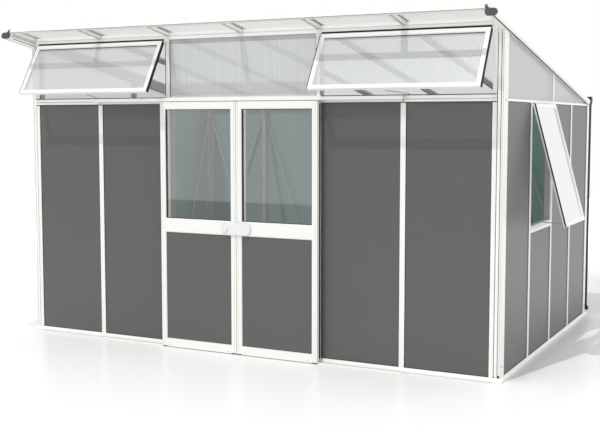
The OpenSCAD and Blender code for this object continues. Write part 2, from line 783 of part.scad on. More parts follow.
// Door leaf pieces, drawn for the right-hand door: x from the meeting edge outwards
module door_bar(x0, x1, z0, z1) {
    translate([x0, door_y, z0]) cube([x1 - x0, door_t, z1 - z0]);
}
door_x0 = meet_gap;
door_x1 = meet_gap + door_w;
module door_slots() {
    x0 = door_x0 + stile_w - groove_d;
    width = door_w - 2 * stile_w + 2 * groove_d;
    low_z = door_z + bottom_rail_h - groove_d;
    translate([x0, door_mid_y - panel_t / 2 - fit, low_z])
        cube([width, panel_t + 2 * fit, lock_rail_z + groove_d - low_z]);
    high_z = lock_rail_z + lock_rail_h - groove_d;
    translate([x0, door_mid_y - pane_t / 2 - fit, high_z])
        cube([width, pane_t + 2 * fit, door_top - top_rail_h + groove_d - high_z]);
}
// Set-back beads round the two fields of a door, and grooves along its stiles
module door_beads() {
    x0 = door_x0 + stile_w - bead_w;
    width = door_w - 2 * stile_w + 2 * bead_w;
    for (z = [[door_z + bottom_rail_h, lock_rail_z],
            [lock_rail_z + lock_rail_h, door_top - top_rail_h]])
        translate([x0, door_y - eps, z[0] - bead_w])
            cube([width, bead_d + eps, z[1] - z[0] + 2 * bead_w]);
}
module stile_grooves() {
    for (x = [door_x0 + strip_w, door_x1 - strip_w - track_t])
        translate([x, door_y - eps, 0]) cube([track_t, bead_d + eps, 2 * door_top]);
    translate([door_x1 - bead_d, door_y + door_t / 3, 0])
        cube([bead_d + eps, door_t / 3, 2 * door_top]);
}
module door_stiles() {
    color(white) difference() {
        union() {
            door_bar(door_x0, door_x0 + stile_w, door_z + stile_rise, door_top);
            door_bar(door_x1 - stile_w, door_x1, door_z + stile_rise, door_top);
        }
        door_slots();
        door_guide_groove();
        door_beads();
        stile_grooves();
    }
}
module door_guide_groove() {
    translate([door_x0 - eps, door_mid_y - slot_w / 2, door_z - eps])
        cube([door_w + 2 * eps, slot_w, rib_h + foot_t + eps]);
}
module door_rails() {
    x0 = door_x0 + stile_w;
    x1 = door_x1 - stile_w;
    color(white) difference() {
        union() {
            door_bar(x0, x1, door_z, door_z + bottom_rail_h);
            door_bar(x0, x1, lock_rail_z, lock_rail_z + lock_rail_h);
            door_bar(x0, x1, door_top - top_rail_h, door_top);
        }
        door_slots();
        door_guide_groove();
        door_beads();
    }
}
module door_panel() {
    edge = stile_w - groove_d + fit;
    z0 = door_z + bottom_rail_h - groove_d + fit;
    color(dark) translate([door_x0 + edge, door_mid_y - panel_t / 2, z0])
        cube([door_w - 2 * edge, panel_t, lock_rail_z + groove_d - fit - z0]);
}
module door_glass() {
    edge = stile_w - groove_d + fit;
    z0 = lock_rail_z + lock_rail_h - groove_d + fit;
    color(pane_colour) translate([door_x0 + edge, door_mid_y - pane_t / 2, z0])
        cube([door_w - 2 * edge, pane_t, door_top - top_rail_h + groove_d - fit - z0]);
}
ledge_z = track_z + track_t;
wheel_z = ledge_z + run_gap + wheel_d / 2;
wheel_y = stem_t / 2 + move_gap + 2;
module door_runners() {
    color(metal) for (x = [door_x0 + runner_inset, door_x1 - runner_inset])
        translate([x, door_mid_y, 0]) {
        translate([-hanger_w / 2, -stem_t / 2, door_top])
            cube([hanger_w, stem_t, wheel_z - door_top]);
        translate([0, stem_t / 2, wheel_z]) rotate([90, 0, 0])
            cylinder(h = stem_t, d = wheel_d, $fn = 32);
        translate([0, wheel_y + wheel_t, wheel_z]) rotate([90, 0, 0])
            cylinder(h = 2 * (wheel_y + wheel_t), d = axle_d, $fn = 24);
        for (y = [wheel_y + wheel_t, -wheel_y]) translate([0, y, wheel_z])
            rotate([90, 0, 0]) cylinder(h = wheel_t, d = wheel_d, $fn = 32);
        difference() {
            translate([-shoe_l / 2, -slot_w / 2 + fit, door_z + 1])
                cube([shoe_l, slot_w - 2 * fit, rib_h + foot_t - 1 - fit]);
            translate([-shoe_l / 2 - eps, -rib_t / 2 - run_gap, 0])
                cube([shoe_l + 2 * eps, rib_t + 2 * run_gap, foot_t + rib_h - 1]);
        }
    }
}
module bottom_track() {
    color(white) {
        translate([-track_x, door_y - track_lip, 0])
            cube([2 * track_x, door_out + track_lip - foot_out, foot_t - 1]);
        translate([-track_x, door_mid_y - rib_t / 2, 0])
            cube([2 * track_x, rib_t, foot_t + rib_h - 3]);
    }
}
module top_track() {
    half = wheel_y + wheel_t + move_gap + track_t;
    inside_h = wheel_d + run_gap + move_gap;
    color(white) translate([-track_x, door_mid_y, track_z]) difference() {
        union() {
            translate([0, -half, 0]) cube([2 * track_x, 2 * half, inside_h + 2 * track_t]);
            translate([0, 0, inside_h + track_t])
                cube([2 * track_x, -door_mid_y - sill_out, track_t]);
        }
        translate([-eps, -half + track_t, track_t])
            cube([2 * track_x + 2 * eps, 2 * half - 2 * track_t, inside_h]);
        translate([-eps, -stem_t / 2 - move_gap, -eps])
            cube([2 * track_x + 2 * eps, stem_t + 2 * move_gap, track_t + 2 * eps]);
    }
}
lock_z = lock_rail_z + lock_rail_h / 2;
module pill_2d(length, height) {
    r = height / 2;
    union() {
        square([length - height, height], center = true);
        for (x = [-1, 1]) translate([x * (length / 2 - r), 0]) circle(r = r, $fn = 64);
    }
}
module lock_plate() {
    color(white) difference() {
        translate([0, door_y, lock_z]) rotate([90, 0, 0])
            linear_extrude(lock_t) pill_2d(lock_l, lock_h);
        translate([-meet_gap, door_y - move_gap, lock_z - lock_h])
            cube([lock_l, move_gap + eps, 2 * lock_h]);
    }
}
module lock_knob() {
    color(metal) translate([-knob_x, door_y - lock_t, lock_z]) rotate([90, 0, 0])
        cylinder(h = knob_l, d = knob_d, $fn = 64);
}

cross_base_rails();
side_base_rails();
bottom_track();
top_track();
corner_posts();
front_posts();
back_posts();
side_posts();
front_mid_rail();
front_head_beam();
back_top_rail();
side_mid_rails();
front_panels();
back_panels();
side_panels();
window_sill();
sash_frame();
sash_glass();
vent_side_bars();
vent_cross_bars();
vent_sheets();
opening_seals();
stay_bars();
infill_sheets();
rafters();
side_beams();
roof_sheets();
glazing_caps();
front_fascia();
fascia_end_caps();
gutter();
downpipe();
wall_braces();
mirror([1, 0, 0]) door_stiles();  // left_door_stiles
mirror([1, 0, 0]) door_rails();  // left_door_rails
mirror([1, 0, 0]) door_panel();  // left_door_panel
mirror([1, 0, 0]) door_glass();  // left_door_glass
mirror([1, 0, 0]) door_runners();  // left_door_runners
lock_plate();
lock_knob();
door_stiles();  // right_door_stiles
door_rails();  // right_door_rails
door_panel();  // right_door_panel
door_glass();  // right_door_glass
door_runners();  // right_door_runners
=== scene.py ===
import json
import math

import bmesh
import bpy
from mathutils import Matrix, Vector


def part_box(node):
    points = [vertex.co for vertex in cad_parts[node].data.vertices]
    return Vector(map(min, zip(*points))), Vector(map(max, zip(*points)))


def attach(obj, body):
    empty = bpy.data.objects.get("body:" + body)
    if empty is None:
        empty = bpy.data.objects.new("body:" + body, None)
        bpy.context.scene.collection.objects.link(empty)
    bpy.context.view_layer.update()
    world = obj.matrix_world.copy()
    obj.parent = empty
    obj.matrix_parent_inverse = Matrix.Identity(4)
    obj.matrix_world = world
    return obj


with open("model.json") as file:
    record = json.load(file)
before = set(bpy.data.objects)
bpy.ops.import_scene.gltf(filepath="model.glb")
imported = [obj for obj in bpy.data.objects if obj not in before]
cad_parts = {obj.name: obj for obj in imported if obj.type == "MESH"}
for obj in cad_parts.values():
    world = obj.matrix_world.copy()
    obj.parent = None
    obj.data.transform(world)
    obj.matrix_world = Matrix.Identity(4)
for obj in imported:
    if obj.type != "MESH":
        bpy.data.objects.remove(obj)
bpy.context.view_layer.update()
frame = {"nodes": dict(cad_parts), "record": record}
nodes = frame["nodes"]
scene = bpy.context.scene
print("frame loaded:", len(nodes), "nodes")


# Small helpers for node trees

def newGroup(name, inputs, outputs):
    group = bpy.data.node_groups.new(name, "ShaderNodeTree")
    for label, kind, value in inputs:
        socket = group.interface.new_socket(name=label, in_out="INPUT", socket_type=kind)
        socket.default_value = value
    for label, kind in outputs:
        group.interface.new_socket(name=label, in_out="OUTPUT", socket_type=kind)
    return group, group.nodes.new("NodeGroupInput"), group.nodes.new("NodeGroupOutput")


def mathNode(tree, operation, a, b=None, c=None):
    node = tree.nodes.new("ShaderNodeMath")
    node.operation = operation
    for socket, value in zip(node.inputs, (a, b, c)):
        if isinstance(value, bpy.types.NodeSocket):
            tree.links.new(value, socket)
        elif value is not None:
            socket.default_value = value
    return node.outputs[0]


def mixColour(tree, factor, a, b):
    node = tree.nodes.new("ShaderNodeMix")
    node.data_type = "RGBA"
    for index, value in ((0, factor), (6, a), (7, b)):
        if isinstance(value, bpy.types.NodeSocket):
            tree.links.new(value, node.inputs[index])
        else:
            node.inputs[index].default_value = value
    return node.outputs[2]


def srgb(r, g, b, alpha=1.0):
    # a colour read off as 0 to 255 values, as the linear colour Blender wants
    def linear(v):
        v /= 255
        return v / 12.92 if v <= 0.04045 else ((v + 0.055) / 1.055) ** 2.4
    return (linear(r), linear(g), linear(b), alpha)


# Shared effects

def makeMottleGroup():
    # slow changes of tone and a fine orange-peel height, as powder coat has
    group, source, result = newGroup(
        "coatMottle",
        [("Scale", "NodeSocketFloat", 3.0), ("Peel Scale", "NodeSocketFloat", 260.0)],
        [("Tone", "NodeSocketFloat"), ("Peel", "NodeSocketFloat")])
    place = group.nodes.new("ShaderNodeTexCoord")
    slow = group.nodes.new("ShaderNodeTexNoise")
    slow.inputs["Detail"].default_value = 4
    fine = group.nodes.new("ShaderNodeTexNoise")
    fine.inputs["Detail"].default_value = 2
    for texture, label, output in ((slow, "Scale", "Tone"), (fine, "Peel Scale", "Peel")):
        group.links.new(place.outputs["Object"], texture.inputs["Vector"])
        group.links.new(source.outputs[label], texture.inputs["Scale"])
        group.links.new(texture.outputs["Fac"], result.inputs[output])
    return group


ribLook = {"pitch": 0.0208, "shoulderFrom": 0.35, "shoulderTo": 0.85, "gableFrom": 2.25,
           "streaks": 70.0, "gableStreaks": 48.0}  # streaks for each metre


def makeFluteGroup():
    # ribs of twin-wall sheet: along X on the front and the roof, along Y on the gables
    group, source, result = newGroup(
        "twinWallRibs",
        [("Pitch", "NodeSocketFloat", ribLook["pitch"]),
         ("Gable From", "NodeSocketFloat", ribLook["gableFrom"]),
         ("Band From", "NodeSocketFloat", 9.0)],  # above the roof: no painted shadow
        [("Rib", "NodeSocketFloat"), ("Height", "NodeSocketFloat"), ("Streak", "NodeSocketFloat"),
         ("Gable", "NodeSocketFloat"), ("Painted Shadow", "NodeSocketFloat")])
    place = group.nodes.new("ShaderNodeTexCoord")
    split = group.nodes.new("ShaderNodeSeparateXYZ")
    group.links.new(place.outputs["Object"], split.inputs[0])
    side = mathNode(group, "ABSOLUTE", split.outputs["X"])
    onGable = mathNode(group, "GREATER_THAN", side, source.outputs["Gable From"])
    offset = mathNode(group, "SUBTRACT", split.outputs["Y"], split.outputs["X"])
    along = mathNode(group, "MULTIPLY_ADD", offset, onGable, split.outputs["X"])
    cell = mathNode(group, "FRACT", mathNode(group, "DIVIDE", along, source.outputs["Pitch"]))
    fromRib = mathNode(group, "MULTIPLY", mathNode(group, "ABSOLUTE",
                       mathNode(group, "SUBTRACT", cell, 0.5)), 2.0)
    rib = group.nodes.new("ShaderNodeMapRange")
    rib.inputs["From Min"].default_value = ribLook["shoulderFrom"]
    rib.inputs["From Max"].default_value = ribLook["shoulderTo"]
    group.links.new(fromRib, rib.inputs["Value"])
    group.links.new(rib.outputs[0], result.inputs["Rib"])
    group.links.new(fromRib, result.inputs["Height"])
    streak = group.nodes.new("ShaderNodeTexNoise")
    streak.noise_dimensions = "1D"
    streak.inputs["Scale"].default_value = 1.0
    streak.inputs["Detail"].default_value = 1
    spread = mathNode(group, "MULTIPLY_ADD", onGable,
                      ribLook["gableStreaks"] - ribLook["streaks"], ribLook["streaks"])
    group.links.new(mathNode(group, "MULTIPLY", along, spread), streak.inputs["W"])
    group.links.new(streak.outputs["Fac"], result.inputs["Streak"])
    group.links.new(onGable, result.inputs["Gable"])
    # a painted shadow on the flat sheets above a given height
    paintedShadow = mathNode(group, "GREATER_THAN", split.outputs["Z"], source.outputs["Band From"])
    flat = mathNode(group, "SUBTRACT", 1.0, onGable)
    group.links.new(mathNode(group, "MULTIPLY", paintedShadow, flat), result.inputs["Painted Shadow"])
    return group


roomLook = {"halfWidth": 2.266, "front": 0.02, "back": 3.112, "top": 2.19, "upperShare": 0.75}


def makeRoomGroup():
    # 1 inside the room, 0 outside; above the wall panels the upper share stands for the 1
    group, source, result = newGroup(
        "insideRoom",
        [("Half Width", "NodeSocketFloat", roomLook["halfWidth"]),
         ("Front", "NodeSocketFloat", roomLook["front"]),
         ("Back", "NodeSocketFloat", roomLook["back"]),
         ("Top", "NodeSocketFloat", roomLook["top"]),
         ("Upper Share", "NodeSocketFloat", roomLook["upperShare"])],
        [("Inside", "NodeSocketFloat")])
    place = group.nodes.new("ShaderNodeTexCoord")
    split = group.nodes.new("ShaderNodeSeparateXYZ")
    group.links.new(place.outputs["Object"], split.inputs[0])
    tests = [
        mathNode(group, "LESS_THAN", mathNode(group, "ABSOLUTE", split.outputs["X"]),
                 source.outputs["Half Width"]),
        mathNode(group, "GREATER_THAN", split.outputs["Y"], source.outputs["Front"]),
        mathNode(group, "LESS_THAN", split.outputs["Y"], source.outputs["Back"]),
        mathNode(group, "MAXIMUM", source.outputs["Upper Share"],
                 mathNode(group, "LESS_THAN", split.outputs["Z"], source.outputs["Top"]))]
    inside = tests[0]
    for test in tests[1:]:
        inside = mathNode(group, "MULTIPLY", inside, test)
    group.links.new(inside, result.inputs["Inside"])
    return group


mottle = makeMottleGroup()
flutes = makeFluteGroup()
room = makeRoomGroup()
print("shared node groups made")


# Materials

def startMaterial(name, **settings):
    material = bpy.data.materials.new(name)
    material.use_nodes = True
    shader = material.node_tree.nodes["Principled BSDF"]
    for label, value in settings.items():
        shader.inputs[label.replace("_", " ")].default_value = value
    return material, material.node_tree, shader


def placeGroup(tree, group, **values):
    node = tree.nodes.new("ShaderNodeGroup")
    node.node_tree = group
    for label, value in values.items():
        node.inputs[label.replace("_", " ")].default_value = value
    return node


def bumpFrom(tree, shader, height, strength, distance):
    bump = tree.nodes.new("ShaderNodeBump")
    bump.inputs["Strength"].default_value = strength
    bump.inputs["Distance"].default_value = distance
    tree.links.new(height, bump.inputs["Height"])
    tree.links.new(bump.outputs["Normal"], shader.inputs["Normal"])


peelDepth = 0.0004


def coatedMetal(name, light, shade, roughness, peel=0.05, indoors=None, metallic=0.0):
    material, tree, shader = startMaterial(name, Roughness=roughness, Metallic=metallic)
    coat = placeGroup(tree, mottle)
    colour = mixColour(tree, coat.outputs["Tone"], shade, light)
    # indoors: the colour inside the room; on the white frame it is painted indoor shade
    if indoors:
        where = placeGroup(tree, room)
        colour = mixColour(tree, where.outputs["Inside"], colour, indoors)
    tree.links.new(colour, shader.inputs["Base Color"])
    bumpFrom(tree, shader, coat.outputs["Peel"], peel, peelDepth)
    return material


# inside the room the white frame turns a darker grey: painted indoor shade, a little weaker above
# the wall panels
whiteCoat = coatedMetal("whiteCoat", srgb(246, 246, 242), srgb(242, 242, 237), 0.24,
                         indoors=srgb(176, 171, 170))
bareMetal = coatedMetal("bareMetal", srgb(206, 200, 198), srgb(188, 182, 180), 0.42, 0.1,
                        metallic=0.3)
dullMetal = coatedMetal("dullMetal", srgb(150, 162, 159), srgb(142, 154, 151), 0.5, 0.1)
lockWhite = coatedMetal("lockWhite", srgb(236, 236, 237), srgb(231, 231, 232), 0.25)
blackRubber = coatedMetal("blackRubber", srgb(30, 30, 30), srgb(18, 18, 18), 0.75, 0.3)
capGrey = coatedMetal("capGrey", srgb(78, 78, 78), srgb(66, 66, 66), 0.6, 0.2)
gutterBlack = coatedMetal("gutterBlack", srgb(30, 30, 30), srgb(22, 22, 22), 0.5, 0.15)

panelLook = {
    "outer": srgb(92, 92, 92), "outerShade": srgb(87, 87, 87),
    "inner": srgb(132, 158, 154), "innerShade": srgb(127, 152, 148), "roughness": 0.36,
    "mottleScale": 1.2, "peel": 0.05,
}


def makePanelMaterial():
    material, tree, shader = startMaterial("sandwichPanel", Roughness=panelLook["roughness"])
    coat = placeGroup(tree, mottle, Scale=panelLook["mottleScale"])
    where = placeGroup(tree, room)
    outer = mixColour(tree, coat.outputs["Tone"], panelLook["outerShade"], panelLook["outer"])
    inner = mixColour(tree, coat.outputs["Tone"], panelLook["innerShade"], panelLook["inner"])
    tree.links.new(mixColour(tree, where.outputs["Inside"], outer, inner),
                   shader.inputs["Base Color"])
    bumpFrom(tree, shader, coat.outputs["Peel"], panelLook["peel"], peelDepth)
    return material


# sun and glow: how much sunlight a sheet lets by, and how bright daylight makes it from inside;
# also how strongly a painted shadow along the tops and painted shade on the gables darken a sheet
sheetLook = {
    "fixedSheet": {"cell": srgb(223, 226, 226), "rib": srgb(204, 207, 207), "cellAlpha": 0.84,
                   "ribAlpha": 0.95, "streak": 0.26, "gable": 0.25, "paintedShadow": 0.40,
                   "paintedShadowFrom": 2.677, "sun": 0.62, "glow": 0.45},
    "ventSheet": {"cell": srgb(230, 233, 233), "rib": srgb(178, 181, 181), "cellAlpha": 0.64,
                  "ribAlpha": 0.9, "streak": 0.08, "gable": 0.0, "paintedShadow": 0.34,
                  "paintedShadowFrom": 2.648, "sun": 0.62, "glow": 0.0},
    "roofSheet": {"cell": srgb(232, 234, 234), "rib": srgb(188, 190, 190), "cellAlpha": 0.45,
                  "ribAlpha": 0.72, "streak": 0.0, "gable": 0.0, "paintedShadow": 0.0, "paintedShadowFrom": 9.0,
                  "sun": 0.72, "glow": 0.38},
}
sheetFinish = {"shade": srgb(96, 98, 98), "roughness": 0.3, "sky": 0.3, "ribBump": 0.2,
               "ribDepth": 0.001}


def makeSheetMaterial(name):
    # the face that is looked at shows the ribs; the one behind it lets all light by
    look = sheetLook[name]
    material, tree, shader = startMaterial(name, Roughness=sheetFinish["roughness"])
    ribs = placeGroup(tree, flutes, Band_From=look["paintedShadowFrom"])
    colour = mixColour(tree, ribs.outputs["Rib"], look["cell"], look["rib"])
    shade = mathNode(tree, "MULTIPLY", ribs.outputs["Streak"], look["streak"])
    # the gable sheets are darkened: painted shade on the shed's sides
    shade = mathNode(tree, "MULTIPLY_ADD", ribs.outputs["Gable"], look["gable"], shade)
    # a painted shadow along the tops of the front sheets and the vent sheets, below the beam and
    # bars over them
    shade = mathNode(tree, "MULTIPLY_ADD", ribs.outputs["Painted Shadow"], look["paintedShadow"], shade)
    tree.links.new(mixColour(tree, shade, colour, sheetFinish["shade"]),
                   shader.inputs["Base Color"])
    reach = look["ribAlpha"] - look["cellAlpha"]
    cover = mathNode(tree, "MULTIPLY_ADD", ribs.outputs["Rib"], reach, look["cellAlpha"])
    facing = tree.nodes.new("ShaderNodeNewGeometry")
    front = mathNode(tree, "SUBTRACT", 1.0, facing.outputs["Backfacing"])
    path = tree.nodes.new("ShaderNodeLightPath")
    lighting = mathNode(tree, "ADD", mathNode(tree, "MULTIPLY", path.outputs["Is Shadow Ray"],
                                              look["sun"]),
                        mathNode(tree, "MULTIPLY", path.outputs["Is Diffuse Ray"],
                                 sheetFinish["sky"]))
    thinned = mathNode(tree, "SUBTRACT", 1.0, lighting)
    cover = mathNode(tree, "MULTIPLY", cover, thinned)
    tree.links.new(mathNode(tree, "MULTIPLY", cover, front), shader.inputs["Alpha"])
    if look["glow"]:
        # daylight that comes through the sheet, as it is seen from inside
        where = placeGroup(tree, room)
        seen = mathNode(tree, "MULTIPLY", where.outputs["Inside"], path.outputs["Is Camera Ray"])
        tree.links.new(mixColour(tree, seen, (0, 0, 0, 1), (1, 1, 1, 1)),
                       shader.inputs["Emission Color"])
        shader.inputs["Emission Strength"].default_value = look["glow"]
    bumpFrom(tree, shader, ribs.outputs["Height"], sheetFinish["ribBump"],
             sheetFinish["ribDepth"])
    return material


glassIndex = 1.45
glassMottleScale = 0.8
glassLook = {
    "clearPane": {"haze": 0.03, "mirror": 1.85, "roughness": 0.02,
                  "tint": srgb(246, 250, 250), "lightTint": srgb(252, 255, 255)},
    "sashPane": {"haze": 0.54, "mirror": 2.4, "roughness": 0.05,
                 "tint": srgb(238, 238, 239), "lightTint": srgb(243, 243, 244)},
}


def makeGlassMaterial(name):
    # each face of a pane mirrors as much as it hides; the rest is see-through
    look = glassLook[name]
    material, tree, shader = startMaterial(name, Metallic=1.0, Roughness=look["roughness"])
    coat = placeGroup(tree, mottle, Scale=glassMottleScale)
    tree.links.new(mixColour(tree, coat.outputs["Tone"], look["tint"], look["lightTint"]),
                   shader.inputs["Base Color"])
    facing = tree.nodes.new("ShaderNodeFresnel")
    facing.inputs["IOR"].default_value = glassIndex
    tree.links.new(mathNode(tree, "MULTIPLY_ADD", facing.outputs[0], look["mirror"],
                            look["haze"]), shader.inputs["Alpha"])
    return material


finishOfSlot = {
    "white_frame": whiteCoat, "dark_panel": makePanelMaterial(),
    "twin_wall": makeSheetMaterial("fixedSheet"), "pane": makeGlassMaterial("clearPane"),
    "seal": blackRubber, "cap_grey": capGrey, "gutter_black": gutterBlack,
    "bare_metal": bareMetal, "white_lock": lockWhite,
}
for part in frame["record"]["subparts"]:
    mesh = nodes[part["node"]].data
    mesh.materials.clear()
    mesh.materials.append(finishOfSlot[part["material_slot"]])
nodes["roof_sheets"].data.materials[0] = makeSheetMaterial("roofSheet")
nodes["vent_sheets"].data.materials[0] = makeSheetMaterial("ventSheet")
nodes["sash_glass"].data.materials[0] = makeGlassMaterial("sashPane")
nodes["wall_braces"].data.materials[0] = dullMetal
print("materials placed on the frame")


# Small pieces that stand on the frame

# the tops of the front and back wall's rails set the roof's slope
roofPlace = {"frontTop": 2.752, "backTop": 2.200, "run": 3.132}
ventPlace = {"hinge": 2.692, "openAngle": 30}

slope = math.atan((roofPlace["frontTop"] - roofPlace["backTop"]) / roofPlace["run"])
onRoof = Matrix.Translation((0, 0, roofPlace["frontTop"])) @ Matrix.Rotation(-slope, 4, "X")
onVents = (Matrix.Translation((0, 0, ventPlace["hinge"]))
           @ Matrix.Rotation(math.radians(-ventPlace["openAngle"]), 4, "X"))
frontWall = Matrix.Rotation(math.radians(90), 4, "X")  # flat shapes stand up and face the front


def wallPlace(side, along, out, height):
    # a place on one of the four walls, with the wall's outer side along Z
    turn = {"front": 0, "right": 90, "back": 180, "left": -90}[side]
    spot = {"front": (along, -out), "right": (out, along),
            "back": (along, out), "left": (-out, along)}[side]
    return (Matrix.Translation((spot[0], spot[1], height))
            @ Matrix.Rotation(math.radians(turn), 4, "Z") @ frontWall)


def span(side, near, far):
    # from and to along X, on the left (-1) or on the right (1)
    return sorted((side * near, side * far))


def addPart(shape, part, place):
    # joins a finished part to a piece at its place
    bmesh.ops.transform(part, matrix=place, verts=part.verts)
    mesh = bpy.data.meshes.new("part")
    part.to_mesh(mesh)
    part.free()
    shape.from_mesh(mesh)
    bpy.data.meshes.remove(mesh)


def addBar(shape, low, high, chamfer=0.0, place=Matrix()):
    part = bmesh.new()
    size = Vector(high) - Vector(low)
    middle = (Vector(high) + Vector(low)) / 2
    bmesh.ops.create_cube(part, size=1.0,
                          matrix=Matrix.Translation(middle) @ Matrix.Diagonal((*size, 1.0)))
    if chamfer:
        bmesh.ops.bevel(part, geom=part.edges[:], offset=chamfer, affect="EDGES", segments=2,
                        profile=0.5, material=-1)
    addPart(shape, part, place)


def addRing(shape, place, width, height, border, depth):
    # a flat picture-frame ring round a sheet or a pane
    part = bmesh.new()
    made = bmesh.ops.create_grid(part, x_segments=1, y_segments=1, size=0.5)
    bmesh.ops.scale(part, vec=(width, height, 1.0), verts=made["verts"])
    middle = part.faces[:]
    ring = bmesh.ops.inset_individual(part, faces=middle, thickness=border,
                                      use_even_offset=True)["faces"]
    bmesh.ops.delete(part, geom=middle, context="FACES_ONLY")
    raised = bmesh.ops.extrude_face_region(part, geom=ring, use_keep_orig=True)["geom"]
    bmesh.ops.translate(part, vec=(0, 0, depth),
                        verts=[item for item in raised if isinstance(item, bmesh.types.BMVert)])
    addPart(shape, part, place)


def addScrew(shape, place, radius, height):
    # a low head with a round recess, standing along the place's Z axis
    part = bmesh.new()
    bmesh.ops.create_cone(part, cap_ends=True, segments=16, radius1=radius,
                          radius2=radius * 0.8, depth=height,
                          matrix=Matrix.Translation((0, 0, height / 2)))
    crown = [face for face in part.faces
             if len(face.verts) == 16 and face.calc_center_median().z > height / 2]
    bmesh.ops.inset_individual(part, faces=crown, thickness=radius * 0.25, depth=height * 0.25)
    bmesh.ops.inset_individual(part, faces=crown, thickness=radius * 0.2)
    bmesh.ops.inset_individual(part, faces=crown, thickness=radius * 0.02, depth=-height * 0.5)
    addPart(shape, part, place)


def finishPiece(shape, name, finish, body="shed"):
    bmesh.ops.recalc_face_normals(shape, faces=shape.faces)
    mesh = bpy.data.meshes.new(name)
    shape.to_mesh(mesh)
    shape.free()
    mesh.materials.append(finish)
    piece = bpy.data.objects.new(name, mesh)
    scene.collection.objects.link(piece)
    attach(piece, body)
    return piece


walls = {"bay": 0.74, "postHalf": 0.022, "sideLine": 0.086, "depth": 3.132, "halfWidth": 2.287,
         "innerX": 2.232, "panelLow": 0.040, "panelHigh": 2.157, "panelIn": 0.0063,
         "sillLow": 1.077}


# Thin black rubber rings round every wall panel: the gasket there, and painted shade along the
# panel's edges by the posts
panelEdgeGasketShadeLook = {"border": 0.005, "depth": 0.0012}


def makeEdgeGasketShadeRings():
    shape = bmesh.new()
    width = walls["bay"] - 2 * walls["postHalf"]
    height = walls["panelHigh"] - walls["panelLow"]
    middle = (walls["panelHigh"] + walls["panelLow"]) / 2
    out = -walls["panelIn"]

    def ring(side, along, wallOut, tall=height, up=middle):
        addRing(shape, wallPlace(side, along, wallOut, up), width, tall,
                panelEdgeGasketShadeLook["border"], panelEdgeGasketShadeLook["depth"])

    for bay in (-3, -2, 1, 2):
        ring("front", (bay + 0.5) * walls["bay"], out)
    for bay in range(-3, 3):
        ring("back", (bay + 0.5) * walls["bay"], walls["depth"] + out)
    for bay in range(4):
        along = walls["sideLine"] + (bay + 0.5) * walls["bay"]
        ring("left", along, walls["halfWidth"] + out)
        if bay == 1:
            low = walls["sillLow"]
            ring("right", along, walls["halfWidth"] + out, low - walls["panelLow"],
                 (low + walls["panelLow"]) / 2)
        else:
            ring("right", along, walls["halfWidth"] + out)
    finishPiece(shape, "panelEdgeGasketShade", blackRubber)


# Black strips in the slot under each side beam: painted shade of the slot
beamSlotShadeLook = {"slotFrom": 2.2895, "slotTo": 2.2955, "mouth": -0.0535, "top": -0.0235,
                "front": -0.325, "back": 3.045, "chamfer": 0.001}


def makeBeamSlotShade():
    shape = bmesh.new()
    look = beamSlotShadeLook
    for side in (-1, 1):
        left, right = span(side, look["slotFrom"], look["slotTo"])
        addBar(shape, (left, look["front"], look["mouth"]), (right, look["back"], look["top"]),
               look["chamfer"], onRoof)
    finishPiece(shape, "beamSlotShadeStrips", blackRubber)


# Thin dark lines along the rafters, the head beam and the rail below the vents, where glazing
# gaskets sit: painted shade in the gaps and grooves there.
# A line stands a little proud of its face and sinks a little into it; each pair is from and to.
gasketShadeLook = {"line": 0.0045, "proud": 0.0008, "sink": 0.002, "doorwayHalf": 0.765,
               "eaves": (-0.298, -0.002), "indoors": (0.066, 3.020), "rafterHalf": 0.013,
               "flangeHalf": 0.025, "flangeLine": (0.025, 0.0272), "slotHalf": 0.004,
               "beamLines": (-0.010, -0.024, -0.049),
               "fasciaFace": -0.350, "fasciaProud": 0.0005, "fasciaLine": (-0.0045, -0.0018),
               "ventFace": -0.023, "ventX": (0.812, 2.148), "ventLine": (-0.047, -0.039),
               "ventSink": 0.001, "sillFace": -0.008, "sillLine": (2.206, 2.2136),
               "railLine": (2.1485, 2.1565),
               # (from, to, face) of the lines on each doorway post, and their height
               "postLines": ((0.712, 0.7178, 0.0055), (0.7555, 0.7615, 0.0)),
               "postHeight": (2.215, 2.700)}


def addRafterLines(shape, look):
    line, proud, sink = look["line"], look["proud"], look["sink"]
    (front, back), (low, high) = look["eaves"], look["flangeLine"]
    for k in range(-2, 3):
        middle = k * walls["bay"]
        for side in (-1, 1):
            edge = middle + side * look["rafterHalf"]
            left, right = sorted((edge - side * sink, edge - side * (sink + line)))
            addBar(shape, (left, front, -proud), (right, back, proud), place=onRoof)
            edge = middle + side * look["flangeHalf"]
            left, right = sorted((edge - side * proud, edge + side * line))
            addBar(shape, (left, front, low), (right, back, high), place=onRoof)
        addBar(shape, (middle - look["slotHalf"], look["indoors"][0], -proud),
               (middle + look["slotHalf"], look["indoors"][1], proud), place=onRoof)


# dark lines on the side beams' inner faces and under the fascia's front edge: painted shade
def addBeamLines(shape, look):
    front, back = look["eaves"]
    for side in (-1, 1):
        left, right = span(side, walls["innerX"] - look["proud"], walls["innerX"] + look["sink"])
        for low in look["beamLines"]:
            addBar(shape, (left, front, low), (right, back, low + look["line"]), place=onRoof)
    face, end = look["fasciaFace"], walls["innerX"] - 2 * look["sink"]
    low, high = look["fasciaLine"]
    addBar(shape, (-end, face - look["fasciaProud"], low), (end, face + look["sink"], high),
           place=onRoof)


# a dark line at the top of each vent sheet: painted shadow of the vent's top bar
def addVentLines(shape, look):
    low, high = look["ventLine"]
    for side in (-1, 1):
        left, right = span(side, *look["ventX"])
        addBar(shape, (left, look["ventFace"] - look["proud"], low),
               (right, look["ventFace"] + look["ventSink"], high), place=onVents)


